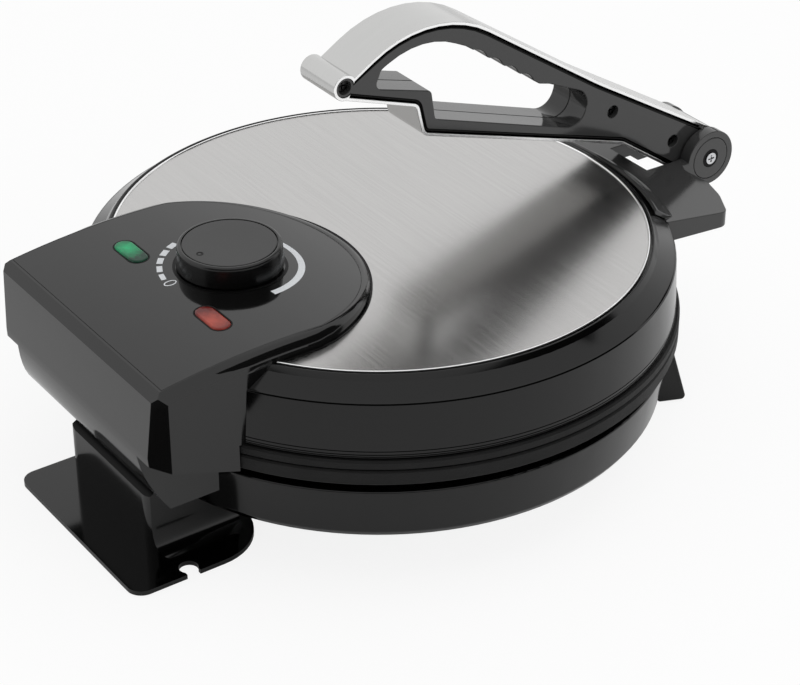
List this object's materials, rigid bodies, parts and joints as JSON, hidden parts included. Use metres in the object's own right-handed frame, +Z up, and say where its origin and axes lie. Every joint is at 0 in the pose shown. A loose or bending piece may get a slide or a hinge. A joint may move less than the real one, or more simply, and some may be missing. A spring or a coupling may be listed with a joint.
{
  "type": "electric roti maker",
  "caption": "Countertop flatbread cooker with a round base, a hinged heated lid, a rear control housing with a knob, and a folding press handle at the front.",
  "frame": {"origin": "on the counter, at the middle of the machine's length and width", "axes": "+Z up; +Y from the front bracket to the hinge; +X to the user's right, who stands in front at -Y"},
  "size_m": [0.26, 0.3402, 0.1934],
  "materials": {
    "gloss_black": "polished moulded black",
    "panel_grey": "fine matte grey",
    "cast_plate": "cast and coated, dark",
    "steel_disc": "brushed sheet",
    "strap_steel": "bright satin strip",
    "sheet_metal": "plain sheet",
    "heater_sheath": "dull heat-toned sheath",
    "bright_hardware": "plated screws and pins",
    "rubber": "soft black",
    "green_lens": "translucent green",
    "red_lens": "translucent red",
    "lamp": "clear small bulb",
    "moulded_insulator": "heat-proof moulding"
  },
  "bodies": {
    "base": {"base_shell": "gloss_black", "bottom_cover": "sheet_metal", "front_left_leg": "gloss_black", "front_right_leg": "gloss_black", "rear_stand": "gloss_black", "rubber_feet": "rubber", "lower_plate": "cast_plate", "lower_heater": "heater_sheath", "lower_reflector": "sheet_metal", "lower_spacers": "bright_hardware", "lower_plate_screws": "bright_hardware", "cover_screws": "bright_hardware", "leg_screws": "bright_hardware", "stand_screws": "bright_hardware", "cord_gland": "rubber", "terminal_block": "moulded_insulator", "hinge_pin": "bright_hardware"},
    "lid": {"lid_shell": "gloss_black", "steel_disc": "steel_disc", "upper_plate": "cast_plate", "upper_heater": "heater_sheath", "upper_reflector": "sheet_metal", "upper_spacers": "bright_hardware", "upper_plate_screws": "bright_hardware", "control_housing": "gloss_black", "control_panel": "panel_grey", "housing_screws": "bright_hardware", "green_lens": "green_lens", "red_lens": "red_lens", "indicator_lamps": "lamp", "thermostat": "moulded_insulator", "thermostat_screws": "bright_hardware", "thermal_cutout": "moulded_insulator", "front_bracket": "gloss_black", "bracket_screws": "bright_hardware", "pivot_axle": "bright_hardware", "pivot_caps": "gloss_black", "axle_screws": "bright_hardware"},
    "handle": {"handle_left_half": "gloss_black", "handle_right_half": "gloss_black", "handle_strap": "strap_steel", "handle_screws": "bright_hardware"},
    "knob": {"knob": "gloss_black", "knob_cap": "panel_grey", "thermostat_shaft": "bright_hardware"}
  },
  "joints": [
    {"name": "lid_hinge", "type": "hinge", "parent": "base", "child": "lid", "pos_m": [0, 0.1474, 0.0475], "axis": [-1, 0, 0], "range_deg": [0, 95]},
    {"name": "handle_pivot", "type": "hinge", "parent": "lid", "child": "handle", "pos_m": [0, -0.1568, 0.0902], "axis": [1, 0, 0], "range_deg": [0, 160]},
    {"name": "knob_turn", "type": "hinge", "parent": "lid", "child": "knob", "pos_m": [0, 0.0895, 0.11], "axis": [0, 0, -1], "range_deg": [0, 270]}
  ]
}
